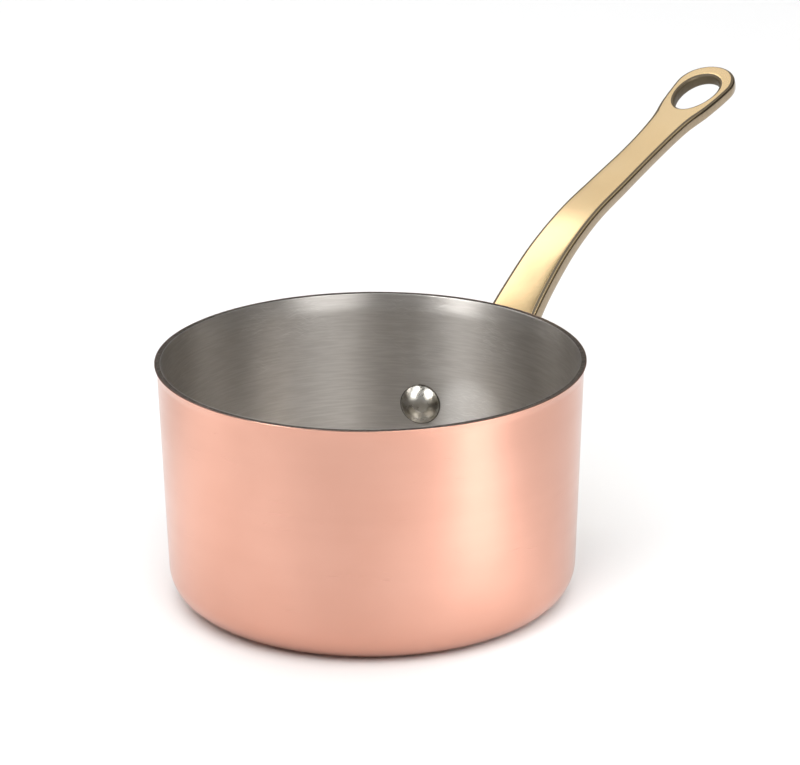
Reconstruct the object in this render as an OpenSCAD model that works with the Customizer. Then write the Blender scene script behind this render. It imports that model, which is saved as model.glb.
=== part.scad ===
// Laminated copper saucepan: a straight-sided pan with a riveted brass handle.
// Frame: millimetres, +Z up, origin at the centre of the base's underside.
// The handle runs along +X.

/* [Pan] */
// Outer diameter over the rim
rim_d = 124; // [110:1:150]
// Height from the base to the rim
pan_h = 71; // [60:1:85]
// Lean of the wall out of upright, in degrees
wall_lean = 2; // [0.5:0.5:4]
// Outer radius of the corner between the wall and the base
corner_r = 10; // [7:0.5:14]
// How far the lip turns out past the line of the wall
lip_out = 0.7; // [0:0.1:1.2]
// Height of the turned lip
lip_h = 3; // [2:0.5:5]

/* [Laminate] */
// Thickness of the copper skin
copper_t = 0.4; // [0.3:0.1:0.8]
// Thickness of the aluminium core
core_t = 1.2; // [0.6:0.1:1.6]
// Thickness of the steel lining
lining_t = 0.4; // [0.3:0.1:0.8]

/* [Rivets] */
// Depth of the rivets' centres below the rim
rivet_drop = 34; // [30:1:38]
// Angle of each rivet from the handle, seen from above, in degrees
rivet_angle = 20; // [18:1:24]
// Diameter of the shank
shank_d = 5; // [4:0.5:6]
// Diameter of the domed head inside the pan
inner_head_d = 12.4; // [10:0.2:14]
// Height of the domed head inside the pan
inner_head_h = 3.2; // [2:0.2:4]
// Diameter of the set head outside the flange
outer_head_d = 9; // [8:0.2:12]
// Height of the set head outside the flange
outer_head_h = 2.2; // [1.5:0.1:3]

/* [Handle] */
// Thickness of the flange that lies against the wall
flange_t = 3; // [2:0.5:4]
// Radius of the flange's ends, round the rivets
flange_end_r = 9.5; // [8:0.5:11]
// How far the flange's upper edge rises behind the stem, over its round ends
flange_rise = 8; // [5:0.5:10]
// How far its lower edge drops there
flange_drop = 2; // [0:0.5:4]
// Radius of the hanging loop
loop_r = 9.7; // [8.5:0.1:11]
// Distance from the pan's axis to the centre of the loop's round end
loop_x = 188; // [180:0.5:200]
// Slope of the loop above level, in degrees
loop_slope = 21; // [10:1:24]
// Length of the hanging eye
eye_l = 20; // [14:0.5:21]
// Width of the hanging eye
eye_w = 12.4; // [8:0.2:13]

/* [Hidden] */
$fn = 96;

rim_r = rim_d / 2;
wall_t = copper_t + core_t + lining_t;
rivet_z = pan_h - rivet_drop;
// Centre of the corner's arc, in the section
corner_x = wall_x(corner_r * (1 - sin(wall_lean)), corner_r);
rivet_x = wall_x(rivet_z, 0);
// Plain edge of a rivet's head under its dome, and the stock behind it before it is cut to fit
head_edge = 0.6;
head_foot = 1;
over = 1;

// Stations along the handle's middle line:
// [distance from the pan's axis, height of the flat top over the rim, width, thickness]
stations = [
    [54, -20.5, 36, 26],
    [62, -17.8, 27, 22],
    [67, -14, 20.5, 16],
    [73, -7.8, 17, 9.6],
    [81, -1.2, 15.6, 6],
    [95, 8.2, 14.4, 4.7],
    [112, 16, 13.4, 4.2],
    [130, 21.4, 12.2, 4],
    [150, 27.2, 11.4, 3.9],
    [166, 32.3, 12.9, 3.9],
    [176, 35.5, 16.8, 3.9],
    [loop_x, 39.5, 2 * loop_r, 3.9],
    [loop_x + 12, 44.1, 2 * loop_r, 3.9],
];
station_steps = 5;
loop_top_z = stations[11][1];
eye_back = 5.7;
eye_skew = 0.12;

// Distance from the axis to the wall's outer face at height z, moved in by inset
function wall_x(z, inset) =
    rim_r - lip_out - (pan_h - z) * tan(wall_lean) - inset / cos(wall_lean);

// Smooth curve through p1 and p2, for u from 0 to 1
function curve(p0, p1, p2, p3, u) =
    (2 * p1 + (p2 - p0) * u + (2 * p0 - 5 * p1 + 4 * p2 - p3) * u * u
     + (3 * p1 - p0 - 3 * p2 + p3) * u * u * u) / 2;

// The stations with steps points on the curve between each pair of them
function smooth(s, steps) = concat(
    [for (i = [0 : len(s) - 2], k = [0 : steps - 1])
        curve(s[max(i - 1, 0)], s[i], s[i + 1], s[min(i + 2, len(s) - 1)], k / steps)],
    [s[len(s) - 1]]
);

// A list from its last item to its first
function reversed(v) = [for (i = [len(v) - 1 : -1 : 0]) v[i]];

line = smooth(stations, station_steps);

// Half of the section of a solid pan whose skin lies inset inside the real one
module pan_section(inset) {
    r = corner_r - inset;
    polygon([
        [0, inset],
        [corner_x, inset],
        [corner_x + r * cos(wall_lean), corner_r - r * sin(wall_lean)],
        [wall_x(pan_h - lip_h, inset), pan_h - lip_h],
        [wall_x(pan_h, inset) + lip_out, pan_h],
        [0, pan_h],
    ]);
    intersection() {
        translate([corner_x, corner_r]) circle(r);
        translate([corner_x - over, 0]) square(corner_r + over);
    }
}

// One layer of the wall and base, between two insets
module layer(outer, inner) {
    rotate_extrude($fn = 192) difference() {
        pan_section(outer);
        pan_section(inner);
    }
}

// The two holes for the rivets' shanks
module rivet_holes() {
    for (side = [-1, 1])
        rotate([0, 0, side * rivet_angle]) translate([rivet_x / 2, 0, rivet_z]) rotate([0, 90, 0])
            cylinder(d = shank_d, h = rivet_x);
}

module copper_shell() {
    color("#e0a287") difference() {
        layer(0, copper_t);
        rivet_holes();
    }
}

module aluminium_core() {
    color("#b9bcc0") difference() {
        layer(copper_t, copper_t + core_t);
        rivet_holes();
    }
}

module steel_lining() {
    color("#9a948e") difference() {
        layer(copper_t + core_t, wall_t);
        rivet_holes();
    }
}

// A rivet's head towards +X: a dome of diameter d on a plain edge, h high in all.
// It reaches head_foot behind the YZ plane, to be cut there to the wall's curve.
module head_blank(d, h) {
    dome_h = h - head_edge;
    ball_r = (d * d / 4 + dome_h * dome_h) / (2 * dome_h);
    rotate([0, 90, 0]) rotate_extrude() intersection() {
        translate([0, h - ball_r]) circle(ball_r);
        translate([0, -head_foot]) square([d / 2, h + head_foot]);
    }
}

// A solid pan with its skin at the given inset, its seam turned away from the handle
module solid_pan(inset) {
    rotate([0, 0, 180]) rotate_extrude($fn = 192) pan_section(inset);
}

// One rivet: its heads bear on the lining and on the flange, and its shank fills the holes
module rivet(side) {
    inner_face = rivet_x - wall_t / cos(wall_lean);
    outer_face = rivet_x + flange_t / cos(wall_lean);
    color("#b4b0aa") rotate([0, 0, side * rivet_angle]) {
        intersection() {
            translate([inner_face, 0, rivet_z]) mirror([1, 0, 0])
                head_blank(inner_head_d, inner_head_h);
            solid_pan(wall_t);
        }
        difference() {
            translate([outer_face, 0, rivet_z]) head_blank(outer_head_d, outer_head_h);
            solid_pan(-flange_t);
        }
        translate([inner_face - over, 0, rivet_z]) rotate([0, 90, 0])
            cylinder(d = shank_d, h = outer_face - inner_face + 2 * over);
    }
}

module rivet_left() { rivet(1); }

module rivet_right() { rivet(-1); }

// Half height of the flange at the share t of the way from the middle to a rivet
function flange_edge(swell, t) = flange_end_r + swell * (1 + cos(180 * t)) / 2;

// The flange's outline, seen along the handle: round ends, and a taller middle behind the stem
module flange_outline() {
    end_y = rivet_x * sin(rivet_angle);
    shares = [for (i = [-12 : 12]) i / 12];
    for (side = [-1, 1]) translate([side * end_y, 0]) circle(flange_end_r);
    polygon(concat(
        [for (t = shares) [t * end_y, flange_edge(flange_rise, t)]],
        [for (t = reversed(shares)) [t * end_y, -flange_edge(flange_drop, t)]]
    ));
}

// The flange, curved to lie against the wall
module flange() {
    intersection() {
        layer(-flange_t, 0);
        translate([rivet_x / 2, 0, rivet_z]) rotate([90, 0, 90])
            linear_extrude(rivet_x) flange_outline();
    }
}

// Side view of the stem and loop: the curved flat top, and the underside below it
module stem_side() {
    polygon(concat(
        [for (p = line) [p[0], pan_h + p[1]]],
        [for (p = reversed(line)) [p[0], pan_h + p[1] - p[3]]]
    ));
}

// Top view of the stem and loop
module stem_top() {
    edge = [for (p = line) if (p[0] < loop_x) [p[0], p[2] / 2]];
    tip = [for (a = [90 : -6 : -90]) [loop_x + loop_r * cos(loop_slope) * cos(a), loop_r * sin(a)]];
    polygon(concat(edge, tip, [for (p = reversed(edge)) [p[0], -p[1]]]));
}

// The egg-shaped hanging eye, square to the loop's top face
module eye_cutter() {
    translate([loop_x, 0, pan_h + loop_top_z]) rotate([0, -loop_slope, 0])
        translate([-eye_back, 0, -10]) linear_extrude(20)
            polygon([for (a = [0 : 7.5 : 352.5])
                [eye_l / 2 * cos(a), eye_w / 2 * sin(a) * (1 + eye_skew * cos(a))]]);
}

module handle() {
    color("#e2bd7c") difference() {
        union() {
            flange();
            intersection() {
                rotate([90, 0, 0]) linear_extrude(rim_d, center = true) stem_side();
                linear_extrude(2 * pan_h) stem_top();
            }
        }
        solid_pan(0);
        rivet_holes();
        eye_cutter();
    }
}

copper_shell();
aluminium_core();
steel_lining();
handle();
rivet_left();
rivet_right();
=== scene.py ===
"""Looks of the laminated copper saucepan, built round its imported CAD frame.

Every piece is modelled in metres in the frame's own axes: +Z up from the middle of the base, and the handle
along +X.
"""

import logging
import math
from collections.abc import Callable, Sequence
from dataclasses import dataclass
from enum import Enum
from typing import Any

import bmesh
import bpy
from mathutils import Matrix, Vector

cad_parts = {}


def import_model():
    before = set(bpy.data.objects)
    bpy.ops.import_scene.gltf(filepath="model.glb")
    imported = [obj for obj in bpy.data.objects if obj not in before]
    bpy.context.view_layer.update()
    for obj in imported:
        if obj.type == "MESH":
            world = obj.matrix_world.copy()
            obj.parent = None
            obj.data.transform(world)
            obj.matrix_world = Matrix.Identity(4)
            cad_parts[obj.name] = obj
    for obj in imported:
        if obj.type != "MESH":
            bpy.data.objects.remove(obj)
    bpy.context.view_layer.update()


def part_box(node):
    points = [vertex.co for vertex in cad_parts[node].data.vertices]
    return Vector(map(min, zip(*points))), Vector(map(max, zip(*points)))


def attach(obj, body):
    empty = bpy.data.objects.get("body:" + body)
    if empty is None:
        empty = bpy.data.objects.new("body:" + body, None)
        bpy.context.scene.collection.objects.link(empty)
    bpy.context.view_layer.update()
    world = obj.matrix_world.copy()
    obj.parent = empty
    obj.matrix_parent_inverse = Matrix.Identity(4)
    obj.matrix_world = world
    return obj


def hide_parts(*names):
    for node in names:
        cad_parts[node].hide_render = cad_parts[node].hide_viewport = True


LOG = logging.getLogger("saucepan")
MM = 0.001
MERGE = 2e-6
ROUND = 320
WALL_R = 60.0 * MM

Point = tuple[float, float]
Colour = tuple[float, float, float, float]
Values = dict[Any, Any] | None


class Slot(Enum):
    """Material slots of the record."""

    COPPER = "polished_copper"
    CORE = "ground_aluminium"
    LINING = "brushed_lining"
    BRASS = "polished_brass"
    RIVET = "rivet_steel"


class Shine(Enum):
    """What a light reaches."""

    FLOOR = "floor"
    METAL = "metal"
    BOTH = "both"


# ---------------- modelling moves


class Bench:
    """Modelling moves that every piece is made with."""

    @staticmethod
    def clear() -> None:
        """Leave edit mode and deselect everything."""
        if bpy.context.mode != "OBJECT":
            bpy.ops.object.mode_set(mode="OBJECT")
        bpy.ops.object.select_all(action="DESELECT")

    @staticmethod
    def hold(piece: bpy.types.Object) -> None:
        """Make one piece the only selected one, and the active one.

        Args:
            piece: The piece.
        """
        Bench.clear()
        piece.select_set(True)
        bpy.context.view_layer.objects.active = piece

    @staticmethod
    def edit(piece: bpy.types.Object) -> None:
        """Enter edit mode on one piece with all of its corners selected.

        Args:
            piece: The piece to edit.
        """
        Bench.hold(piece)
        bpy.ops.object.mode_set(mode="EDIT")
        bpy.ops.mesh.select_mode(type="VERT")
        bpy.ops.mesh.select_all(action="SELECT")

    @staticmethod
    def named(name: str) -> bpy.types.Object:
        """Give the active object its name.

        Args:
            name: The name.

        Returns:
            The object.
        """
        piece = bpy.context.view_layer.objects.active
        piece.name = name
        piece.data.name = name
        return piece

    @staticmethod
    def ring(name: str, points: Sequence[Vector]) -> bpy.types.Object:
        """Start a piece as a circle of edges and lay it through the given points.

        Args:
            name: Name of the new piece.
            points: One place for each of the circle's corners, in order.

        Returns:
            The new piece.
        """
        Bench.clear()
        bpy.ops.mesh.primitive_circle_add(vertices=len(points), radius=MM)
        piece = Bench.named(name)
        for corner, place in zip(piece.data.vertices, points):
            corner.co = place
        return piece

    @staticmethod
    def select(test: Callable[[Vector], bool]) -> None:
        """Select the corners of the edited mesh that pass a test.

        Args:
            test: Says of a corner's place whether it is selected.
        """
        mesh = bmesh.from_edit_mesh(bpy.context.edit_object.data)
        for corner in mesh.verts:
            corner.select = test(corner.co)
        mesh.select_flush(True)
        mesh.select_flush(False)
        bmesh.update_edit_mesh(bpy.context.edit_object.data)

    @staticmethod
    def lay(shape: Callable[[Vector], Vector]) -> None:
        """Move each selected corner of the edited mesh.

        Args:
            shape: Gives a corner's new place from its old one.
        """
        mesh = bmesh.from_edit_mesh(bpy.context.edit_object.data)
        for corner in mesh.verts:
            if corner.select:
                corner.co = shape(corner.co.copy())
        bmesh.update_edit_mesh(bpy.context.edit_object.data)

    @staticmethod
    def draw_out(shape: Callable[[Vector], Vector]) -> None:
        """Extrude the selection and lay its new corners on a shape."""
        bpy.ops.mesh.extrude_region_move(TRANSFORM_OT_translate={"value": (0.0, 0.0, 0.0)})
        Bench.lay(shape)

    @staticmethod
    def face(piece: bpy.types.Object, axis: int) -> None:
        """Turn an open sheet so that its first face looks along an axis.

        Args:
            piece: The sheet.
            axis: Number of the axis, 0 for +X and 2 for +Z.
        """
        bpy.ops.mesh.normals_make_consistent(inside=False)
        Bench.clear()
        if piece.data.polygons[0].normal[axis] < 0:
            Bench.edit(piece)
            bpy.ops.mesh.flip_normals()
            Bench.clear()

    @staticmethod
    def close(piece: bpy.types.Object) -> None:
        """Merge doubled corners and turn every face outwards.

        Args:
            piece: The piece to close.
        """
        Bench.edit(piece)
        bpy.ops.mesh.remove_doubles(threshold=MERGE)
        bpy.ops.mesh.normals_make_consistent(inside=False)
        Bench.clear()

    @staticmethod
    def modify(piece: bpy.types.Object, kind: str, **settings: Any) -> None:
        """Add a modifier to a piece and apply it.

        Args:
            piece: The piece to change.
            kind: The modifier's type.
            settings: The modifier's own settings.
        """
        Bench.hold(piece)
        modifier = piece.modifiers.new(kind.title(), kind)
        for key, value in settings.items():
            setattr(modifier, key, value)
        bpy.ops.object.modifier_apply(modifier=modifier.name)
        Bench.clear()

    @staticmethod
    def cut(piece: bpy.types.Object, tool: bpy.types.Object, way: str = "DIFFERENCE") -> None:
        """Join a tool to a piece or cut it away, and throw the tool away.

        Args:
            piece: The piece to change.
            tool: The solid that is joined or cut away.
            way: The kind of Boolean.
        """
        Bench.modify(piece, "BOOLEAN", object=tool, operation=way, solver="EXACT")
        bpy.data.objects.remove(tool)

    @staticmethod
    def bevel(piece: bpy.types.Object, width: float, **settings: Any) -> None:
        """Round the sharp edges of a piece.

        Args:
            piece: The piece to change.
            width: How far the rounding reaches over each face.
            settings: More of the modifier's own settings.
        """
        Bench.modify(
            piece, "BEVEL", width=width, segments=3, limit_method="ANGLE",
            angle_limit=math.radians(50.0), offset_type="OFFSET", **settings,
        )

    @staticmethod
    def smooth(piece: bpy.types.Object, angle: float = 32.0) -> None:
        """Shade a piece smooth, apart from its sharp edges.

        Args:
            piece: The piece to shade.
            angle: Angle in degrees over which an edge stays sharp.
        """
        Bench.hold(piece)
        bpy.ops.object.shade_smooth_by_angle(angle=math.radians(angle))
        Bench.clear()


class Pen:
    """Draws an outline in the XZ plane by extruding its last point."""

    def __init__(self, name: str, start: Point) -> None:
        """Put the first point down.

        Args:
            name: Name of the new piece.
            start: The first point, as x and z.
        """
        Bench.clear()
        bpy.ops.mesh.primitive_plane_add(size=MM)
        self.piece = Bench.named(name)
        self.at = start
        Bench.edit(self.piece)
        bpy.ops.mesh.merge(type="CENTER")
        bpy.ops.transform.translate(value=(start[0], 0.0, start[1]))

    def line(self, end: Point, steps: int = 1) -> "Pen":
        """Draw a straight line in equal steps.

        Args:
            end: The line's end, as x and z.
            steps: Number of edges in it.

        Returns:
            The pen.
        """
        step = ((end[0] - self.at[0]) / steps, 0.0, (end[1] - self.at[1]) / steps)
        for _ in range(steps):
            bpy.ops.mesh.extrude_region_move(TRANSFORM_OT_translate={"value": step})
        self.at = end
        return self

    def path(self, points: Sequence[Point]) -> "Pen":
        """Draw through points in turn.

        Args:
            points: The points, as x and z.

        Returns:
            The pen.
        """
        for point in points:
            self.line(point)
        return self

    def turn(self, axis: Vector, centre: Vector, steps: int) -> bpy.types.Object:
        """Spin the outline once round an axis into a closed skin.

        Args:
            axis: Direction of the axis.
            centre: A point on the axis.
            steps: Faces in one turn.

        Returns:
            The finished solid of revolution.
        """
        bpy.ops.mesh.select_all(action="SELECT")
        bpy.ops.mesh.spin(steps=steps, angle=math.tau, center=centre, axis=axis, use_auto_merge=True)
        Bench.close(self.piece)
        return self.piece


def arc(centre: Point, radius: float, start: float, end: float, steps: int) -> list[Point]:
    """Points on an arc, without its first one.

    Args:
        centre: The arc's centre, as x and z.
        radius: The arc's radius.
        start: First angle in degrees.
        end: Last angle in degrees.
        steps: Number of points.

    Returns:
        The points in order.
    """
    angles = [math.radians(start + (end - start) * i / steps) for i in range(1, steps + 1)]
    return [(centre[0] + radius * math.cos(a), centre[1] + radius * math.sin(a)) for a in angles]


def finish_piece(piece: bpy.types.Object, slot: Slot, finish: "Finish", *nodes: str) -> None:
    """Dress a piece, tie it to the frame and report it.

    Args:
        piece: The finished piece.
        slot: The record's slot for the piece; not used.
        finish: The finish to dress it with.
        nodes: The CAD nodes that it stands for.
    """
    piece.data.materials.clear()
    piece.data.materials.append(finish.material())
    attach(piece, "root")
    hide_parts(*nodes)
    piece.data.calc_loop_triangles()
    LOG.info("%s: %d triangles", piece.name, len(piece.data.loop_triangles))


# ---------------- shader wiring


class Wire:
    """A number socket that can be used in arithmetic."""

    def __init__(self, net: "Net", socket: bpy.types.NodeSocket) -> None:
        """Keep the socket and the net that it belongs to."""
        self.net = net
        self.socket = socket

    def _sum(self, operation: str, first: Any, second: Any) -> "Wire":
        """Add one Math node on two values or wires."""
        return self.net.add("ShaderNodeMath", {"operation": operation}, {0: first, 1: second})

    def __add__(self, other: Any) -> "Wire":
        """Sum."""
        return self._sum("ADD", self, other)

    __radd__ = __add__

    def __sub__(self, other: Any) -> "Wire":
        """Difference."""
        return self._sum("SUBTRACT", self, other)

    def __rsub__(self, other: Any) -> "Wire":
        """Difference from a number."""
        return self._sum("SUBTRACT", other, self)

    def __mul__(self, other: Any) -> "Wire":
        """Product."""
        return self._sum("MULTIPLY", self, other)

    __rmul__ = __mul__

    def __truediv__(self, other: Any) -> "Wire":
        """Quotient."""
        return self._sum("DIVIDE", self, other)

    def __pow__(self, other: Any) -> "Wire":
        """Power."""
        return self._sum("POWER", self, other)

    def size(self) -> "Wire":
        """The value without its sign."""
        return self._sum("ABSOLUTE", self, 0.0)

    def most(self, other: Any) -> "Wire":
        """The greater of two values."""
        return self._sum("MAXIMUM", self, other)

    def way(self, across: Any) -> "Wire":
        """The direction of a point in radians, from this part of it and the part across."""
        return self._sum("ARCTAN2", self, across)

    def over(self, level: float) -> "Wire":
        """One where the value is over a level, else nought."""
        return self._sum("GREATER_THAN", self, level)

    def fit(self, low: float, high: float, start: float = 0.0, end: float = 1.0) -> "Wire":
        """Bring the span from low to high to the span from start to end, clamped.

        Args:
            low: Value that becomes start.
            high: Value that becomes end.
            start: First value of the result.
            end: Last value of the result.

        Returns:
            The fitted value.
        """
        return self.net.add(
            "ShaderNodeMapRange",
            {"interpolation_type": "SMOOTHSTEP"},
            {"Value": self, "From Min": low, "From Max": high, "To Min": start, "To Max": end},
        )


class Net:
    """The node tree of one finish."""

    def __init__(self, name: str) -> None:
        """Make an empty material.

        Args:
            name: The material's name.
        """
        self.material = bpy.data.materials.new(name)
        self.material.use_nodes = True
        self.tree = self.material.node_tree
        self.tree.nodes.clear()

    def node(self, kind: str, settings: Values = None, inputs: Values = None) -> bpy.types.Node:
        """Add any node.

        Args:
            kind: The node's type.
            settings: The node's own settings, set first.
            inputs: Values or wires for its sockets, by name or number.

        Returns:
            The node.
        """
        node = self.tree.nodes.new(kind)
        for key, value in (settings or {}).items():
            setattr(node, key, value)
        for key, value in (inputs or {}).items():
            if isinstance(value, Wire):
                self.tree.links.new(value.socket, node.inputs[key])
            else:
                node.inputs[key].default_value = value
        return node

    def add(self, kind: str, settings: Values = None, inputs: Values = None, output: Any = 0) -> Wire:
        """Add a node and go on with one of its outputs.

        Args:
            kind: The node's type.
            settings: The node's own settings.
            inputs: Values or wires for its sockets, by name or number.
            output: The output to go on with, by name or number.

        Returns:
            That output as a wire.
        """
        return Wire(self, self.node(kind, settings, inputs).outputs[output])

    def split(self, vector: Wire) -> tuple[Wire, Wire, Wire]:
        """The three parts of a vector."""
        sockets = self.node("ShaderNodeSeparateXYZ", inputs={0: vector}).outputs
        return Wire(self, sockets[0]), Wire(self, sockets[1]), Wire(self, sockets[2])

    def spot(self) -> Wire:
        """The surface point's own coordinates in metres."""
        return self.add("ShaderNodeTexCoord", output="Object")

    def place(self) -> tuple[Wire, Wire, Wire]:
        """The surface point's own x, y and z in metres."""
        return self.split(self.spot())

    def vector(self, x: Any, y: Any, z: Any) -> Wire:
        """A vector from three numbers or wires."""
        return self.add("ShaderNodeCombineXYZ", inputs={0: x, 1: y, 2: z})

    def noise(self, where: Wire, scale: float, detail: float = 2.0, rough: float = 0.5) -> Wire:
        """Noise between 0 and 1.

        Args:
            where: The coordinates to read it at.
            scale: Repeats to each unit of the coordinates.
            detail: Number of finer octaves.
            rough: Share of the finer octaves.

        Returns:
            The noise as a number.
        """
        values = {"Vector": where, "Scale": scale, "Detail": detail, "Roughness": rough}
        return self.add("ShaderNodeTexNoise", {"noise_dimensions": "3D"}, values)

    def blend(self, share: Any, first: Any, second: Any) -> Wire:
        """Mix two colours by a share."""
        return self.add("ShaderNodeMix", {"data_type": "RGBA"}, {0: share, 6: first, 7: second}, 2)

    def bump(self, height: Wire, depth: float) -> Wire:
        """A normal from a height between 0 and 1 that stands for a depth in metres."""
        return self.add("ShaderNodeBump", inputs={"Height": height, "Distance": depth, "Strength": 1.0})

    def shade(self, **sockets: Any) -> bpy.types.Material:
        """Close the tree with a Principled shader.

        Args:
            sockets: Values or wires by socket name, with _ for each space.

        Returns:
            The finished material.
        """
        inputs = {key.replace("_", " "): value for key, value in sockets.items()}
        skin = self.add("ShaderNodeBsdfPrincipled", inputs=inputs)
        self.node("ShaderNodeOutputMaterial", inputs={"Surface": skin})
        return self.material


class RoomNet(Net):
    """The node tree of the world."""

    def __init__(self, name: str) -> None:
        """Make an empty world.

        Args:
            name: The world's name.
        """
        self.world = bpy.data.worlds.new(name)
        self.world.use_nodes = True
        self.tree = self.world.node_tree
        self.tree.nodes.clear()

    def ramp(self, share: Wire, stops: Sequence[Point]) -> Wire:
        """Turn a share into a grey.

        Args:
            share: The value to read the ramp at.
            stops: Each stop's share and grey, in order.

        Returns:
            The grey as a colour.
        """
        node = self.node("ShaderNodeValToRGB", inputs={0: share})
        node.color_ramp.interpolation = "EASE"
        while len(node.color_ramp.elements) < len(stops):
            node.color_ramp.elements.new(0.5)
        for element, (place, tone) in zip(node.color_ramp.elements, stops):
            element.position = place
            element.color = (tone, tone, tone, 1.0)
        return Wire(self, node.outputs[0])


class Finish:
    """A procedural finish that is made once and then shared."""

    made: dict[str, bpy.types.Material] = {}

    def build(self) -> bpy.types.Material:
        """Make the material."""
        raise NotImplementedError

    def material(self) -> bpy.types.Material:
        """Make the material on first use.

        Returns:
            The material.
        """
        key = type(self).__name__
        if key not in Finish.made:
            Finish.made[key] = self.build()
        return Finish.made[key]


def turned(net: Net, along: float, across: float) -> Wire:
    """Coordinates that run slowly round the pan's axis and fast across it.

    Args:
        net: The finish's net.
        along: Repeats to a metre round the axis.
        across: Repeats to a metre up the wall or out over the base.

    Returns:
        The coordinates.
    """
    x, y, z = net.place()
    radius = (x * x + y * y) ** 0.5
    return net.vector(x * along, y * along, (z - radius) * across)


def scratches(net: Net, lean: float, long: float, fine: float, level: float) -> Wire:
    """Sparse straight scratches on the wall, all leaning one way.

    Args:
        net: The finish's net.
        lean: Angle of the scratches above level in degrees.
        long: Repeats to a metre along them.
        fine: Repeats to a metre across them.
        level: Share of the noise that is left out.

    Returns:
        A mask, 1 in the scratches.
    """
    x, y, z = net.place()
    round_wall = y.way(x * -1.0) * WALL_R
    rise = z - (x * x + y * y) ** 0.5
    across = rise * math.cos(math.radians(lean)) + round_wall * math.sin(math.radians(lean))
    lines = net.noise(net.vector(x * long, y * long, across * fine), 1.0, 1.0, 0.4)
    return lines.fit(level, level + 0.05)


# ---------------- finishes


@dataclass(frozen=True)
class PolishedCopper(Finish):
    """Spun and polished copper, with a ground upper edge."""

    rim_z: float
    light: Colour = (0.640, 0.352, 0.270, 1.0)
    deep: Colour = (0.600, 0.320, 0.241, 1.0)
    ground: Colour = (0.42, 0.27, 0.22, 1.0)
    roughness: float = 0.24

    def build(self) -> bpy.types.Material:
        """Make the material.

        Returns:
            The material.
        """
        net = Net("polished_copper")
        _, _, z = net.place()
        spot = net.spot()
        cloud = net.noise(spot, 28.0, 3.0)
        spun = net.noise(turned(net, 14.0, 2600.0), 1.0, 3.0, 0.6)
        band = net.noise(turned(net, 5.0, 260.0), 1.0, 2.0)
        marks = scratches(net, 4.0, 60.0, 5200.0, 0.73) + scratches(net, -7.0, 70.0, 4600.0, 0.74)
        ground = z.over(self.rim_z - 0.04 * MM)
        tint = net.blend(cloud.fit(0.3, 0.7), self.deep, self.light)
        colour = net.blend(ground, tint, self.ground)
        rough = self.roughness + (band - 0.5) * 0.08 + (cloud - 0.5) * 0.05 + marks * 0.03
        rough = rough + ground * 0.2
        normal = net.bump(spun * 0.8 + marks * 0.12, 0.0016 * MM)
        return net.shade(
            Base_Color=colour, Metallic=1.0, Roughness=rough, Normal=normal,
            Anisotropic=0.75, Anisotropic_Rotation=0.25,
        )


@dataclass(frozen=True)
class GroundEdge(Finish):
    """Grey metal of the core, ground round at the rim."""

    light: Colour = (0.31, 0.265, 0.23, 1.0)
    dark: Colour = (0.12, 0.098, 0.082, 1.0)

    def build(self) -> bpy.types.Material:
        """Make the material.

        Returns:
            The material.
        """
        net = Net("ground_aluminium")
        spot = net.spot()
        mottle = net.noise(spot, 900.0, 3.0, 0.65)
        cut = net.noise(turned(net, 260.0, 5200.0), 1.0, 2.0)
        colour = net.blend(mottle.fit(0.32, 0.68), self.dark, self.light)
        normal = net.bump(cut * 0.7 + mottle * 0.3, 0.012 * MM)
        return net.shade(
            Base_Color=colour, Metallic=1.0, Roughness=mottle.fit(0.3, 0.7, 0.32, 0.5), Normal=normal
        )


@dataclass(frozen=True)
class BrushedLining(Finish):
    """Steel brushed round the pan, with short scratches from use, a painted highlight patch near the
    rivets, and painted glints on the scratches.
    """

    light: Colour = (0.64, 0.61, 0.575, 1.0)
    deep: Colour = (0.57, 0.54, 0.505, 1.0)
    # Pale steel of the painted highlight patch and of the painted glints on scratches.
    bright: Colour = (0.93, 0.91, 0.88, 1.0)
    # Middle of the painted highlight patch, and the squared distances where it is full and where it has
    # faded out.
    painted_highlight_middle: tuple[float, float, float] = (0.059, 0.004, 0.034)
    painted_highlight_core: float = 0.00002
    painted_highlight_end: float = 0.00022

    def build(self) -> bpy.types.Material:
        """Make the material.

        Returns:
            The material.
        """
        net = Net("brushed_lining")
        spot = net.spot()
        brush = net.noise(turned(net, 170.0, 4200.0), 1.0, 3.0, 0.6)
        coarse = net.noise(turned(net, 120.0, 1900.0), 1.0, 2.0)
        cloud = net.noise(spot, 45.0, 3.0, 0.6)
        x, y, z = net.place()
        far_x, far_y, far_z = (part - middle for part, middle in zip((x, y, z), self.painted_highlight_middle))
        far = far_x ** 2.0 + far_y ** 2.0 + far_z ** 2.0
        # Painted highlight: a bright patch of the lining near the rivets.
        painted_highlight_patch = 1.0 - far.fit(self.painted_highlight_core, self.painted_highlight_end)
        # Random worn clouds, and the painted highlight patch, where the scratches gather.
        wear_and_sheen = cloud.fit(0.46, 0.68).most(painted_highlight_patch)
        # Scratches from use; in the worn clouds and the highlight patch they also lighten the colour as
        # painted glints.
        marks = scratches(net, 9.0, 210.0, 4200.0, 0.60) + scratches(net, -16.0, 230.0, 3900.0, 0.62)
        marks = marks + scratches(net, 31.0, 260.0, 4500.0, 0.63)
        tint = net.blend(coarse.fit(0.3, 0.7), self.deep, self.light)
        # Painted highlight patch, and scratches lightened as painted glints.
        tint = net.blend(painted_highlight_patch * 0.68 + marks * wear_and_sheen * 0.22, tint, self.bright)
        rough = 0.38 + (coarse - 0.5) * 0.05 + (brush - 0.5) * 0.16
        normal = net.bump(brush + marks * wear_and_sheen * 0.4, 0.011 * MM)
        return net.shade(
            Base_Color=tint, Metallic=1.0, Roughness=rough, Normal=normal,
            Anisotropic=0.7, Anisotropic_Rotation=0.25,
        )


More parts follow.
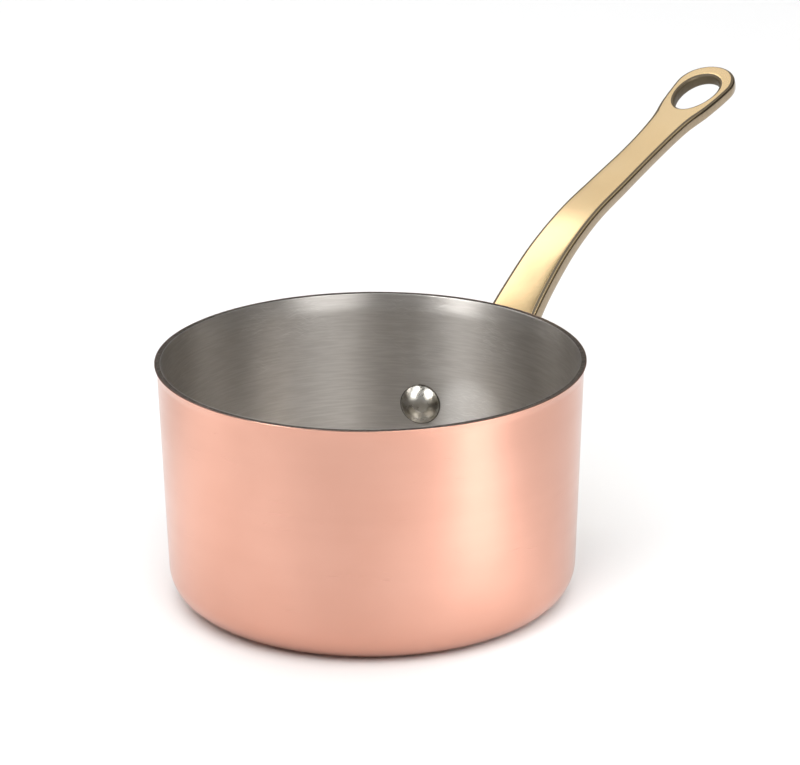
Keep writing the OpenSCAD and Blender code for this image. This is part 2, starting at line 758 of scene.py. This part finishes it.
@dataclass(frozen=True)
class PolishedBrass(Finish):
    """A hand-polished brass casting, with painted shade, a painted dark outline and a painted glint along
    its sides, and painted shade in the eye's rough bore.
    """

    light: Colour = (0.985, 0.735, 0.415, 1.0)
    deep: Colour = (0.935, 0.672, 0.358, 1.0)
    # Colour of the casting pits, and the dull brown of the painted side shade.
    pit_and_side_shade: Colour = (0.37, 0.295, 0.205, 1.0)
    # Painted shade: the dark band where the sides start to round, the dark outline and the eye's bore.
    dark: Colour = (0.048, 0.037, 0.020, 1.0)
    slope: float = math.radians(21.0)
    bore_x: float = 183.5 * MM
    bore_l: float = 11.2 * MM
    bore_w: float = 7.2 * MM

    def build(self) -> bpy.types.Material:
        """Make the material.

        Returns:
            The material.
        """
        net = Net("polished_brass")
        spot = net.spot()
        x, y, z = net.place()
        cloud = net.noise(spot, 34.0, 3.0)
        wave = net.noise(spot, 130.0, 2.0)
        mop = net.noise(net.vector(x * 40.0, y * 2600.0, z * 40.0), 1.0, 3.0, 0.6)
        pits = net.noise(spot, 2400.0, 2.0, 0.6).fit(0.70, 0.78)
        tint = net.blend(cloud.fit(0.3, 0.7), self.deep, self.light)
        facing = net.split(net.add("ShaderNodeNewGeometry", output="Normal"))
        across = facing[1].size()
        level = facing[0] * -math.sin(self.slope) + facing[2] * math.cos(self.slope)
        loop = (1.0 - level.fit(0.955, 0.99)) * x.fit(0.160, 0.168)
        # Sides and rounded edges of the stem and loop, which take the painted side shading.
        edge = across.fit(0.09, 0.15).most(loop) * x.fit(0.066, 0.074)
        # Painted glint: a bright line along the near bevel, a painted reflection of the floor.
        painted_glint = across.fit(0.50, 0.66) * (1.0 - across.fit(0.80, 0.92)) * (1.0 - x.fit(0.165, 0.175))
        under = level.fit(0.2, 0.5, 1.0, 0.0) * x.fit(0.160, 0.168)
        # Painted dark outline (painted shade) where the sides start to round: dark, less metallic and
        # rougher.
        painted_dark_outline = edge * (1.0 - across.fit(0.52, 0.66)) * (1.0 - under)
        bore = ((x - self.bore_x) / self.bore_l) ** 2.0 + (y / self.bore_w) ** 2.0
        # Painted shade in the eye's bore, over its rough and bumpy cast skin.
        inside = (1.0 - bore.fit(0.97, 1.0)) * (1.0 - level.fit(0.3, 0.9))
        skin = net.noise(spot, 900.0, 3.0, 0.6)
        # Painted side shade: dark where the sides start to round, dull brown on the flat sides.
        painted_side_shade = net.blend(across.fit(0.4, 0.9) * skin.fit(0.2, 0.8, 0.7, 1.0), self.dark, self.pit_and_side_shade)
        # Painted light of the sides: the glint over the side shade, and the bore's shade.
        painted_side_light = net.blend(painted_glint * 0.9, net.blend(inside, painted_side_shade, self.dark), self.light)
        # The sides and bore take the painted side shading; the top keeps its own tint and pits.
        colour = net.blend(edge * 0.94, net.blend(pits * 0.6, tint, self.pit_and_side_shade), painted_side_light)
        rough = 0.21 + (cloud - 0.5) * 0.06 + (mop - 0.5) * 0.06 + pits * 0.2 + painted_dark_outline * 0.35 + inside * 0.3
        normal = net.bump(wave + mop * 0.035 - pits * 0.06 + inside * skin * 2.0, 0.03 * MM)
        metal = 1.0 - (painted_dark_outline * 0.85).most(inside * 0.6)
        return net.shade(Base_Color=colour, Metallic=metal, Roughness=rough, Normal=normal)


@dataclass(frozen=True)
class RivetSteel(Finish):
    """Polished steel rivet, mottled by the hammer, with painted shade round its foot."""

    z: float
    angle: float
    head_r: float
    light: Colour = (0.64, 0.62, 0.57, 1.0)
    deep: Colour = (0.40, 0.38, 0.33, 1.0)
    # Painted shade at the head's rim, where it meets the wall.
    foot: Colour = (0.12, 0.11, 0.095, 1.0)

    def build(self) -> bpy.types.Material:
        """Make the material.

        Returns:
            The material.
        """
        net = Net("rivet_steel")
        spot = net.spot()
        x, y, z = net.place()
        aside = y.size() * math.cos(self.angle) - x * math.sin(self.angle)
        out = (aside * aside + (z - self.z) ** 2.0) ** 0.5
        # Painted shade: a dark ring round the head's rim.
        ring = out.fit(self.head_r - 0.45 * MM, self.head_r - 0.05 * MM)
        blot = net.noise(spot, 300.0, 2.0, 0.5)
        hammer = net.noise(spot, 260.0, 1.0)
        fine = net.noise(spot, 3600.0, 3.0, 0.6)
        tint = net.blend(ring, net.blend(blot.fit(0.38, 0.62), self.deep, self.light), self.foot)
        rough = 0.20 + blot.fit(0.35, 0.65) * 0.1 + (fine - 0.5) * 0.08 + ring * 0.2
        normal = net.bump(hammer + fine * 0.03, 0.04 * MM)
        return net.shade(Base_Color=tint, Metallic=1.0, Roughness=rough, Normal=normal)


@dataclass(frozen=True)
class PaleFloor(Finish):
    """A plain matt pale floor."""

    light: Colour = (0.86, 0.86, 0.86, 1.0)
    deep: Colour = (0.80, 0.80, 0.80, 1.0)

    def build(self) -> bpy.types.Material:
        """Make the material.

        Returns:
            The material.
        """
        net = Net("pale_floor")
        spot = net.spot()
        grain = net.noise(spot, 9.0, 2.0)
        tone = net.blend(grain * 0.06, self.light, self.deep)
        return net.shade(Base_Color=tone, Roughness=0.7)


# ---------------- the pan


@dataclass
class PanForm:
    """The form of the pan's wall, which its three layers share."""

    rim_r: float
    height: float
    lean: float = math.radians(2.0)
    corner_r: float = 10.0 * MM
    lip_out: float = 0.7 * MM
    lip_h: float = 3.0 * MM
    lip_bend: float = 0.4
    lip_ease: float = 2.0 * MM

    def wall(self, z: float, inset: float) -> float:
        """Distance from the axis to the wall at a height, the skin moved in by an inset."""
        straight = self.rim_r - self.lip_out - (self.height - z) * math.tan(self.lean)
        return straight - inset / math.cos(self.lean)

    def lip_reach(self, inset: float) -> float:
        """Height of the turned lip, which starts lower on the inner faces."""
        return self.lip_h * (1.0 + inset / self.lip_ease)

    def lip(self, z: float, inset: float) -> float:
        """The same distance as wall(), with the lip that turns out at the rim.

        Args:
            z: Height over the base.
            inset: How far the face lies inside the pan's outer skin.

        Returns:
            The distance from the axis.
        """
        share = max(0.0, 1.0 - (self.height - z) / self.lip_reach(inset))
        half = self.lip_bend / 2.0
        flare = share * share / (2.0 * self.lip_bend) if share < self.lip_bend else share - half
        return self.wall(z, inset) + self.lip_out * flare / (1.0 - half)

    @property
    def corner_x(self) -> float:
        """Distance from the axis to the centre of the corner's arc."""
        return self.wall(self.corner_r * (1.0 - math.sin(self.lean)), self.corner_r)

    def side(self, inset: float, edge: float) -> list[Point]:
        """One face of the wall from the base's middle to the rim.

        Args:
            inset: How far the face lies inside the pan's outer skin.
            edge: Height of the edge that is left for rounding under the rim.

        Returns:
            The points from the axis to the rim.
        """
        centre = (self.corner_x, self.corner_r)
        points = [(self.corner_x * i / 6.0, inset) for i in range(7)]
        points += arc(centre, self.corner_r - inset, -90.0, -math.degrees(self.lean), 16)
        foot, lip_z, top = points[-1][1], self.height - self.lip_reach(inset), self.height - edge
        heights = [foot + (lip_z - foot) * i / 12.0 for i in range(1, 13)]
        heights += [lip_z + (top - lip_z) * i / 7.0 for i in range(1, 8)]
        return points + [(self.lip(z, inset), z) for z in heights]


@dataclass
class Layer:
    """One layer of the bonded sheet that the pan is pressed from."""

    form: PanForm
    name: str
    outer: float
    inner: float
    outer_edge: float = 0.0
    inner_edge: float = 0.0

    def build(self) -> bpy.types.Object:
        """Draw the layer's section and spin it round the pan's axis.

        Returns:
            The layer as a closed skin.
        """
        form = self.form
        outside = form.side(self.outer, self.outer_edge)
        inside = form.side(self.inner, self.inner_edge)
        pen = Pen(self.name, outside[0])
        pen.path(outside[1:])
        if self.outer_edge:
            x, z = outside[-1]
            pen.path(arc((x - self.outer_edge, z), self.outer_edge, 0.0, 90.0, 4))
        rest = inside[::-1]
        if self.inner_edge:
            x, z = inside[-1]
            pen.line((x + self.inner_edge, form.height))
            pen.path(arc((x + self.inner_edge, z), self.inner_edge, 90.0, 180.0, 4))
            rest = rest[1:]
        pen.path(rest)
        return pen.turn(Vector((0, 0, 1)), Vector((0, 0, 0)), ROUND)


@dataclass
class RivetPlan:
    """Places and sizes of the two rivets."""

    form: PanForm
    sheet: float
    flange: float
    z: float = 37.0 * MM
    angle: float = math.radians(20.0)
    shank_r: float = 2.5 * MM
    head_r: float = 6.2 * MM
    head_h: float = 3.2 * MM
    foot_h: float = 0.6 * MM
    set_r: float = 4.5 * MM
    set_h: float = 2.2 * MM

    @property
    def inner_x(self) -> float:
        """Distance from the pan's axis to the lining behind the domed head."""
        return self.form.wall(self.z, self.sheet)

    @property
    def outer_x(self) -> float:
        """Distance from the pan's axis to the flange's face."""
        return self.form.wall(self.z, -self.flange)

    def holes(self, piece: bpy.types.Object) -> None:
        """Cut the holes of both shanks through a piece.

        Args:
            piece: The piece to drill.
        """
        for side in (-1.0, 1.0):
            Bench.clear()
            bpy.ops.mesh.primitive_cylinder_add(
                vertices=64, radius=self.shank_r, depth=20.0 * MM, location=(0.0, 0.0, 0.0)
            )
            tool = Bench.named("drill")
            place = Matrix.Rotation(side * self.angle, 4, "Z")
            place = place @ Matrix.Translation((self.inner_x + 2.0 * MM, 0.0, self.z))
            tool.data.transform(place @ Matrix.Rotation(math.radians(90.0), 4, "Y"))
            Bench.cut(piece, tool)

    def build(self, name: str, side: float) -> bpy.types.Object:
        """Turn one rivet, fit its heads to the wall and swing it to its place.

        Args:
            name: Name of the new piece.
            side: 1 for the rivet on the +Y side, -1 for the other.

        Returns:
            The rivet.
        """
        dome_h, flat_h = self.head_h - self.foot_h, self.set_h - 0.5 * MM
        edge = 0.22 * MM
        rim = self.head_r - edge
        ball = (rim * rim + dome_h * dome_h) / (2.0 * dome_h)
        sweep = math.degrees(math.asin(rim / ball))
        top = self.inner_x - self.head_h
        pen = Pen(name, (top, self.z))
        pen.path(arc((top + ball, self.z), ball, 180.0, 180.0 - sweep, 14))
        pen.line((top + dome_h, self.z + self.head_r - 0.06 * MM))
        pen.line((top + dome_h + 0.08 * MM, self.z + self.head_r))
        pen.line((self.inner_x, self.z + self.head_r))
        pen.line((self.inner_x, self.z + self.shank_r), 3)
        pen.line((self.outer_x, self.z + self.shank_r), 4)
        pen.line((self.outer_x, self.z + self.set_r), 2)
        pen.line((self.outer_x + 0.5 * MM, self.z + self.set_r))
        ellipse = [math.radians(6.0 * i) for i in range(1, 16)]
        start = self.outer_x + 0.5 * MM
        pen.path([(start + flat_h * math.sin(a), self.z + self.set_r * math.cos(a)) for a in ellipse])
        rivet = pen.turn(Vector((1, 0, 0)), Vector((0, 0, self.z)), 72)
        self._fit(rivet)
        rivet.data.transform(Matrix.Rotation(side * self.angle, 4, "Z"))
        Bench.close(rivet)
        Bench.smooth(rivet, 40.0)
        return rivet

    def _fit(self, rivet: bpy.types.Object) -> None:
        """Curve the undersides of both heads to the wall's radius.

        Args:
            rivet: The rivet, still lying along +X.
        """
        for corner in rivet.data.vertices:
            out = math.hypot(corner.co.y, corner.co.z - self.z)
            if out < self.shank_r - MERGE:
                continue
            for face, inset in ((self.inner_x, self.sheet), (self.outer_x, -self.flange)):
                if abs(corner.co.x - face) < MERGE:
                    reach = self.form.wall(corner.co.z, inset)
                    corner.co.x = math.sqrt(reach * reach - corner.co.y ** 2)


# ---------------- the handle


@dataclass
class Handle:
    """The brass casting: flange, curved stem and hanging loop."""

    form: PanForm
    rivets: RivetPlan
    loop_r: float = 10.0 * MM
    loop_x: float = 188.0 * MM
    slope: float = math.radians(21.0)
    eye_l: float = 20.0 * MM
    eye_w: float = 12.4 * MM
    eye_back: float = 5.7 * MM
    eye_skew: float = 0.12
    neck: float = 20.0 * MM
    plate: float = 4.1 * MM
    round_edge: float = 1.1 * MM
    flange_edge: float = 0.9 * MM
    end_r: float = 9.5 * MM
    rise: float = 8.0 * MM
    drop: float = 2.0 * MM
    crown: float = 0.12 * MM
    shoulder: float = 0.14 * MM
    columns: int = 8
    side_steps: int = 12
    tip_steps: int = 28

    def stations(self) -> list[tuple[float, float, float, float]]:
        """Stations along the stem, in metres.

        Returns:
            Distance from the axis, height of the top face over the rim, width and upright thickness.
        """
        return [
            tuple(v * MM for v in row)
            for row in (
                (54, -20.5, 36, 26), (62, -17.8, 27, 22), (67, -14, 20.5, 16), (73, -7.8, 17, 9.6),
                (81, -1.2, 15.6, 6), (95, 8.2, 14.4, 4.7), (112, 16, 13.4, 4.2), (130, 21.4, 12.8, 4),
                (150, 27.2, 12.1, 4), (166, 32.3, 13.6, 4), (176, 35.5, 17.5, 4),
                (188, 39.5, 20, 4), (200, 44.1, 20, 4),
            )
        ]

    def __post_init__(self) -> None:
        """Work the smooth line through the stations out once."""
        rows, line = self.stations(), []
        for i in range(len(rows) - 1):
            four = [rows[max(i - 1, 0)], rows[i], rows[i + 1], rows[min(i + 2, len(rows) - 1)]]
            for k in range(12):
                line.append([self._curve(*(p[j] for p in four), k / 12.0) for j in range(4)])
        line.append(list(rows[-1]))
        self.line = line

    @staticmethod
    def _curve(a: float, b: float, c: float, d: float, u: float) -> float:
        """Value at u, from 0 to 1, of a smooth curve through b and c."""
        cubic = (3 * b - a - 3 * c + d) * u ** 3
        return (2 * b + (c - a) * u + (2 * a - 5 * b + 4 * c - d) * u * u + cubic) / 2

    def at(self, x: float) -> tuple[float, float, float]:
        """Measures of the stem at a distance from the axis.

        Args:
            x: The distance from the axis.

        Returns:
            Height of the top face, half width and upright thickness.
        """
        for low, high in zip(self.line, self.line[1:]):
            if x <= high[0] or high is self.line[-1]:
                u = (x - low[0]) / (high[0] - low[0])
                z, w, t = (low[j] + (high[j] - low[j]) * u for j in (1, 2, 3))
                return self.form.height + z, w / 2.0, t
        raise ValueError(x)

    def _on_loop(self, s: float, y: float) -> Vector:
        """A point of the loop's plan from its distance along the slope and across it."""
        return Vector((self.loop_x + s * math.cos(self.slope), y, 0.0))

    def _polar(self, spot: Vector) -> float:
        """Direction of a point of the loop's plan, seen from the eye's middle."""
        s = (spot.x - self.loop_x) / math.cos(self.slope) + self.eye_back
        return math.atan2(spot.y, s)

    def _outer(self) -> list[Vector]:
        """Draw the loop's outline in plan, with the neck's chord.

        Returns:
            The points, anticlockwise from the chord's +Y end.
        """
        neck_x = self._on_loop(-self.neck, 0.0).x
        half = self.at(neck_x)[1]
        chord = [Vector((neck_x, half * (1 - 2 * i / self.columns), 0)) for i in range(self.columns)]
        right = [neck_x + (self.loop_x - neck_x) * i / self.side_steps for i in range(self.side_steps)]
        tip = [math.pi * (i / self.tip_steps - 0.5) for i in range(self.tip_steps)]
        points = chord + [Vector((x, -self.at(x)[1], 0)) for x in right]
        points += [self._on_loop(self.loop_r * math.cos(a), self.loop_r * math.sin(a)) for a in tip]
        left = [self.loop_x + (neck_x - self.loop_x) * i / self.side_steps for i in range(self.side_steps)]
        return points + [Vector((x, self.at(x)[1], 0)) for x in left]

    def _eye(self, polar: float) -> Vector:
        """Find a point of the eye's outline.

        Args:
            polar: The direction from the eye's middle in radians.

        Returns:
            The outline's point in that direction.
        """
        best, gap = 0.0, 9.0
        for i in range(2880):
            a = math.tau * i / 2880
            y = self.eye_w / 2 * math.sin(a) * (1 + self.eye_skew * math.cos(a))
            way = math.atan2(y, self.eye_l / 2 * math.cos(a))
            off = abs((way - polar + math.pi) % math.tau - math.pi)
            if off < gap:
                best, gap = a, off
        y = self.eye_w / 2 * math.sin(best) * (1 + self.eye_skew * math.cos(best))
        return self._on_loop(self.eye_l / 2 * math.cos(best) - self.eye_back, y)

    def _top(self) -> bpy.types.Object:
        """Draw the top face: rings round the eye, and rows down the stem.

        Returns:
            The top face as an open sheet of quads.
        """
        outer = self._outer()
        eye = [self._eye(self._polar(p)) for p in outer]
        sheet = Bench.ring("handle_casting", eye)
        table = list(zip(eye, outer))
        Bench.edit(sheet)
        for ring in range(1, 4):
            low, high = (ring - 1) / 3.0, ring / 3.0

            def spread(spot: Vector, low: float = low, high: float = high) -> Vector:
                """Move a corner out by one ring."""
                start, end = min(table, key=lambda pair: (pair[0].lerp(pair[1], low) - spot).length)
                return start.lerp(end, high)

            Bench.draw_out(spread)
        neck_x = outer[0].x
        bpy.ops.mesh.select_all(action="DESELECT")
        Bench.select(lambda spot: abs(spot.x - neck_x) < MERGE)
        root_x = self.rivets.outer_x - 1.5 * MM
        rows = 68
        for i in range(1, rows + 1):
            x = neck_x + (root_x - neck_x) * i / rows
            before = self.at(neck_x + (root_x - neck_x) * (i - 1) / rows)[1]
            scale = self.at(x)[1] / before
            Bench.draw_out(lambda spot, x=x, scale=scale: Vector((x, spot.y * scale, 0.0)))
        bpy.ops.mesh.select_all(action="SELECT")
        Bench.lay(self._crowned)
        Bench.face(sheet, 2)
        return sheet

    def _crowned(self, spot: Vector) -> Vector:
        """Lift a point to the top face, which swells a little along its middle.

        Args:
            spot: A point of the plan.

        Returns:
            The point above it on the top face.
        """
        height, half, _ = self.at(spot.x)
        share = min(1.0, abs(spot.y / half))
        swell = self.crown * (1.0 - share ** 2) + self.shoulder * (1.0 - share ** 6)
        return Vector((spot.x, spot.y, height + swell))

    def _stem(self) -> bpy.types.Object:
        """Give the top face its thickness and its rounded edges.

        Returns:
            The stem and loop as a closed skin.
        """
        stem = self._top()
        top_count = len(stem.data.vertices)
        above = [corner.co.copy() for corner in stem.data.vertices]
        Bench.modify(stem, "SOLIDIFY", thickness=self.plate, offset=-1.0, use_even_offset=True)
        for corner, over in zip(stem.data.vertices[top_count:], above):
            extra = self.at(over.x)[2] - 4.0 * MM
            if extra > 0.0:
                share = min(1.0, max(0.0, (95.0 * MM - over.x) / (20.0 * MM)))
                upright = Vector((over.x, over.y, over.z - 4.0 * MM))
                corner.co = corner.co.lerp(upright, share * share * (3 - 2 * share))
                corner.co.z -= extra
        Bench.close(stem)
        Bench.bevel(stem, self.round_edge, use_clamp_overlap=False)
        Bench.modify(stem, "SUBSURF", levels=1, render_levels=1)
        return stem

    def _flange(self) -> bpy.types.Object:
        """Draw the flange flat, close it, bend it round the wall and round its edges.

        Returns:
            The flange as a closed skin.
        """
        end_y = self.form.wall(self.rivets.z, 0.0) * math.sin(self.rivets.angle)
        shares = [i / 16.0 for i in range(-16, 17)]

        def height(swell: float, share: float) -> float:
            """Half height of the flange at a share of the way from its middle to a rivet."""
            return self.end_r + swell * (1 + math.cos(math.pi * share)) / 2

        path = [Vector((s * end_y, height(self.rise, s), 0)) for s in shares]
        ends = [math.pi * i / 24.0 for i in range(1, 24)]
        path += [Vector((end_y + self.end_r * math.sin(a), self.end_r * math.cos(a), 0)) for a in ends]
        path += [Vector((s * end_y, -height(self.drop, s), 0)) for s in shares[::-1]]
        path += [Vector((-end_y - self.end_r * math.sin(a), -self.end_r * math.cos(a), 0)) for a in ends]
        middle = Vector((0.0, 2.5 * MM, 0.0))
        flange = Bench.ring("flange", path)
        Bench.edit(flange)
        for ring in range(1, 10):
            shrink = (10.0 - ring) / (11.0 - ring)
            Bench.draw_out(lambda spot, k=shrink: middle + (spot - middle) * k)
        bpy.ops.mesh.edge_face_add()
        bpy.ops.mesh.select_all(action="SELECT")
        Bench.lay(self._bend)
        Bench.face(flange, 0)
        Bench.modify(flange, "SOLIDIFY", thickness=self.rivets.flange, offset=1.0, use_even_offset=True)
        Bench.close(flange)
        Bench.bevel(flange, self.flange_edge)
        return flange

    def _bend(self, spot: Vector) -> Vector:
        """Put a point of the flat flange on the wall, seen along the handle.

        Args:
            spot: A point of the flat flange.

        Returns:
            Its place on the wall.
        """
        z = self.rivets.z + spot.y
        reach = self.form.wall(z, 0.0)
        return Vector((math.sqrt(reach * reach - spot.x ** 2), spot.x, z))

    def build(self) -> bpy.types.Object:
        """Join the stem to the flange and drill it.

        Returns:
            The whole casting.
        """
        casting = self._stem()
        Bench.cut(casting, self._flange(), "UNION")
        self.rivets.holes(casting)
        Bench.smooth(casting, 35.0)
        return casting


# ---------------- studio


@dataclass
class Studio:
    """Plain floor, soft lights and the camera."""

    rim_r: float
    height: float
    turn: float = math.radians(35.0)
    tilt: float = math.radians(18.85989537)
    near: float = 18.0
    sensor: float = 36.0
    lens: float = 175.1365775583
    aim: tuple[float, float, float] = (0.45639355, 19.22411582, -0.38798125)

    def _axes(self) -> tuple[Vector, Vector]:
        """Level directions away from the camera and to its right."""
        ahead = Vector((math.cos(self.turn), math.sin(self.turn), 0.0))
        return ahead, Vector((math.sin(self.turn), -math.cos(self.turn), 0.0))

    def camera(self) -> None:
        """Place the camera as a long lens that looks down into the pan."""
        ahead, right = self._axes()
        up = Vector((0.0, 0.0, 1.0))
        reach = self.near * self.rim_r
        spot = ahead * (-reach * math.cos(self.tilt)) + up * (self.height + reach * math.sin(self.tilt))
        yaw, pitch, roll = (math.radians(v) for v in self.aim)
        look = right * math.sin(yaw) * math.cos(pitch) + ahead * math.cos(yaw) * math.cos(pitch)
        look = look - up * math.sin(pitch)
        side = right * math.cos(yaw) - ahead * math.sin(yaw)
        rise = side.cross(look)
        side, rise = (
            side * math.cos(roll) + rise * math.sin(roll),
            rise * math.cos(roll) - side * math.sin(roll),
        )
        data = bpy.data.cameras.new("camera")
        data.sensor_width = self.sensor
        data.lens = self.lens
        data.clip_start = 0.01
        camera = bpy.data.objects.new("camera", data)
        bpy.context.scene.collection.objects.link(camera)
        turn = Matrix((side, rise, -look)).transposed()
        camera.matrix_world = Matrix.Translation(spot) @ turn.to_4x4()
        bpy.context.scene.camera = camera

    def lamp(
        self, name: str, way: float, tilt: float, reach: float, size: Point, power: float,
        shine: Shine = Shine.BOTH,
    ) -> None:
        """Hang one soft area light that faces the pan.

        Args:
            name: Name of the light.
            way: Direction from the pan in degrees, 0 away from the camera and 90 to its right.
            tilt: Height above level in degrees.
            reach: Distance in metres.
            size: Width and height in metres.
            power: Power in watts.
            shine: What the light reaches.
        """
        ahead, right = self._axes()
        a, e = math.radians(way), math.radians(tilt)
        back = (ahead * math.cos(a) + right * math.sin(a)) * math.cos(e) + Vector((0, 0, math.sin(e)))
        data = bpy.data.lights.new(name, "AREA")
        data.shape = "RECTANGLE"
        data.size, data.size_y = size
        data.energy = power
        lamp = bpy.data.objects.new(name, data)
        bpy.context.scene.collection.objects.link(lamp)
        lamp.rotation_mode = "QUATERNION"
        lamp.location = Vector((0, 0, self.height / 2.0)) + back * reach
        lamp.rotation_quaternion = back.to_track_quat("Z", "Y")
        lamp.visible_glossy = shine is not Shine.FLOOR
        lamp.visible_diffuse = shine is not Shine.METAL
        lamp.visible_camera = False

    def pool(self, name: str, way: float, reach: float, size: Point, power: float) -> None:
        """Hang a low light that only brightens the floor beside the pan.

        Args:
            name: Name of the light.
            way: Direction from the pan in degrees, as for the lamps.
            reach: Distance in metres.
            size: Length towards the pan and width in metres.
            power: Power in watts.
        """
        self.lamp(name, way, 0.0, reach, size, power, Shine.FLOOR)
        lamp = bpy.data.objects[name]
        ahead, right = self._axes()
        a = math.radians(way)
        out = ahead * math.cos(a) + right * math.sin(a)
        lamp.location = out * reach + Vector((0, 0, 0.05))
        up = Vector((0, 0, 1))
        lamp.rotation_quaternion = Matrix((out, up.cross(out), up)).transposed().to_quaternion()

    def world(self) -> None:
        """Light the room: bright overhead, darker towards the horizon."""
        net = RoomNet("room")
        rise = net.split(net.add("ShaderNodeTexCoord", output="Generated"))[2]
        stops = ((0.0, 0.8), (0.03, 0.13), (0.34, 0.09), (0.60, 0.20), (1.0, 0.26))
        glow = net.add("ShaderNodeBackground", inputs={"Color": net.ramp(rise, stops)})
        net.node("ShaderNodeOutputWorld", inputs={"Surface": glow})
        bpy.context.scene.world = net.world

    def floor(self) -> None:
        """Lay the floor just under the base."""
        Bench.clear()
        bpy.ops.mesh.primitive_grid_add(x_subdivisions=8, y_subdivisions=8, size=16.0)
        floor = Bench.named("floor")
        floor.data.transform(Matrix.Translation((0.0, 0.0, -0.0002)))
        floor.data.materials.append(PaleFloor().material())

    def build(self) -> None:
        """Set the whole studio up."""
        self.floor()
        self.world()
        self.lamp("fill", 0.0, 88.0, 3.4, (6.0, 6.0), 158.0, Shine.FLOOR)
        self.lamp("front_fill", 180.0, 48.0, 2.0, (2.4, 1.2), 25.0, Shine.FLOOR)
        self.lamp("back", -28.0, 50.0, 1.6, (2.10, 0.80), 3.2)
        self.lamp("key", -38.0, 52.0, 1.1, (0.64, 0.38), 0.80)
        self.lamp("high", -86.0, 53.0, 1.1, (0.40, 0.40), 0.13, Shine.METAL)
        self.lamp("front_left", -124.0, 40.0, 0.9, (0.24, 0.80), 6.0, Shine.METAL)
        self.lamp("front_right", 154.0, 38.0, 0.9, (0.52, 0.62), 5.2, Shine.METAL)
        self.pool("pool_right", 129.5, 0.24, (0.30, 0.065), 0.20)
        self.pool("pool_left", -93.0, 0.24, (0.30, 0.13), 0.085)
        self.camera()
        view = bpy.context.scene.view_settings
        view.view_transform = "Standard"
        view.look = "None"
        view.exposure = 0.0
        view.gamma = 1.0


# ---------------- main


def main() -> None:
    """Build every piece on the frame, then the studio."""
    logging.basicConfig(level=logging.INFO, format="%(name)s: %(message)s")
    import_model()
    skin_low, skin_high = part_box("copper_shell")
    form = PanForm(rim_r=skin_high.x, height=skin_high.z)
    copper, core, lining = 0.4 * MM, 1.2 * MM, 0.4 * MM
    rivets = RivetPlan(form, sheet=copper + core + lining, flange=3.0 * MM)
    layers = (
        (Layer(form, "pan_skin", 0.0, copper, outer_edge=0.12 * MM), Slot.COPPER,
         PolishedCopper(form.height), "copper_shell"),
        (Layer(form, "pan_core", copper, copper + core), Slot.CORE, GroundEdge(), "aluminium_core"),
        (Layer(form, "pan_lining", copper + core, copper + core + lining, inner_edge=0.16 * MM),
         Slot.LINING, BrushedLining(), "steel_lining"),
    )
    for layer, slot, finish, node in layers:
        piece = layer.build()
        rivets.holes(piece)
        Bench.smooth(piece)
        finish_piece(piece, slot, finish, node)
    finish_piece(Handle(form, rivets).build(), Slot.BRASS, PolishedBrass(), "handle")
    steel = RivetSteel(rivets.z, rivets.angle, rivets.head_r)
    finish_piece(rivets.build("rivet_near", 1.0), Slot.RIVET, steel, "rivet_left")
    finish_piece(rivets.build("rivet_far", -1.0), Slot.RIVET, steel, "rivet_right")
    Studio(form.rim_r, form.height).build()


if __name__ == "__main__":
    main()
